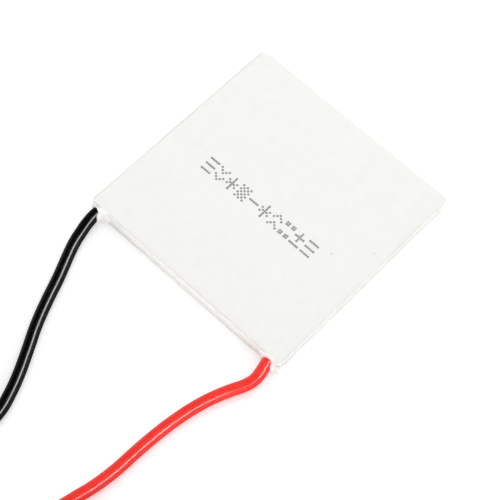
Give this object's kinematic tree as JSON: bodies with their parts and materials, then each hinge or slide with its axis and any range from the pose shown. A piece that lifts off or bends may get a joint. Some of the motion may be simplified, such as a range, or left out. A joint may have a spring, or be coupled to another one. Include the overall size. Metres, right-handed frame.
{
  "type": "thermoelectric cooling module",
  "caption": "Square flat heat pump of two ceramic plates with a sealed array of thermocouples between them, and a black and a red lead from the corners of one side.",
  "frame": {"origin": "centre of the hot side plate's outer face, which the module rests on", "axes": "+Z out of the cold side plate, -Y the way that the leads leave, -X towards the negative lead, +X towards the positive lead"},
  "size_m": [0.0666, 0.1014, 0.004],
  "materials": {
    "ceramic": "fired alumina, matt white with a faint warm tone",
    "copper": "bare rolled copper",
    "solder": "reflowed soft solder, satin",
    "p_type": "sawn bismuth telluride alloy, dull grey",
    "n_type": "sawn bismuth telluride alloy, dull dark grey",
    "sealant": "white silicone sealant, satin",
    "tinned_wire": "tinned copper strands, satin",
    "black_insulation": "glossy soft PVC",
    "red_insulation": "glossy soft PVC"
  },
  "bodies": {
    "root": {"hot_side_plate": "ceramic", "cold_side_plate": "ceramic", "hot_side_tabs": "copper", "negative_terminal_tab": "copper", "positive_terminal_tab": "copper", "cold_side_tabs": "copper", "hot_side_solder": "solder", "cold_side_solder": "solder", "p_type_pellets": "p_type", "n_type_pellets": "n_type", "edge_seal": "sealant", "negative_lead_dab": "sealant", "positive_lead_dab": "sealant", "negative_lead_joint": "solder", "positive_lead_joint": "solder", "negative_lead_strand": "tinned_wire", "positive_lead_strand": "tinned_wire", "negative_lead_end": "tinned_wire", "positive_lead_end": "tinned_wire", "negative_lead": "black_insulation", "negative_lead_coil": "black_insulation", "positive_lead": "red_insulation", "positive_lead_coil": "red_insulation"}
  },
  "joints": []
}
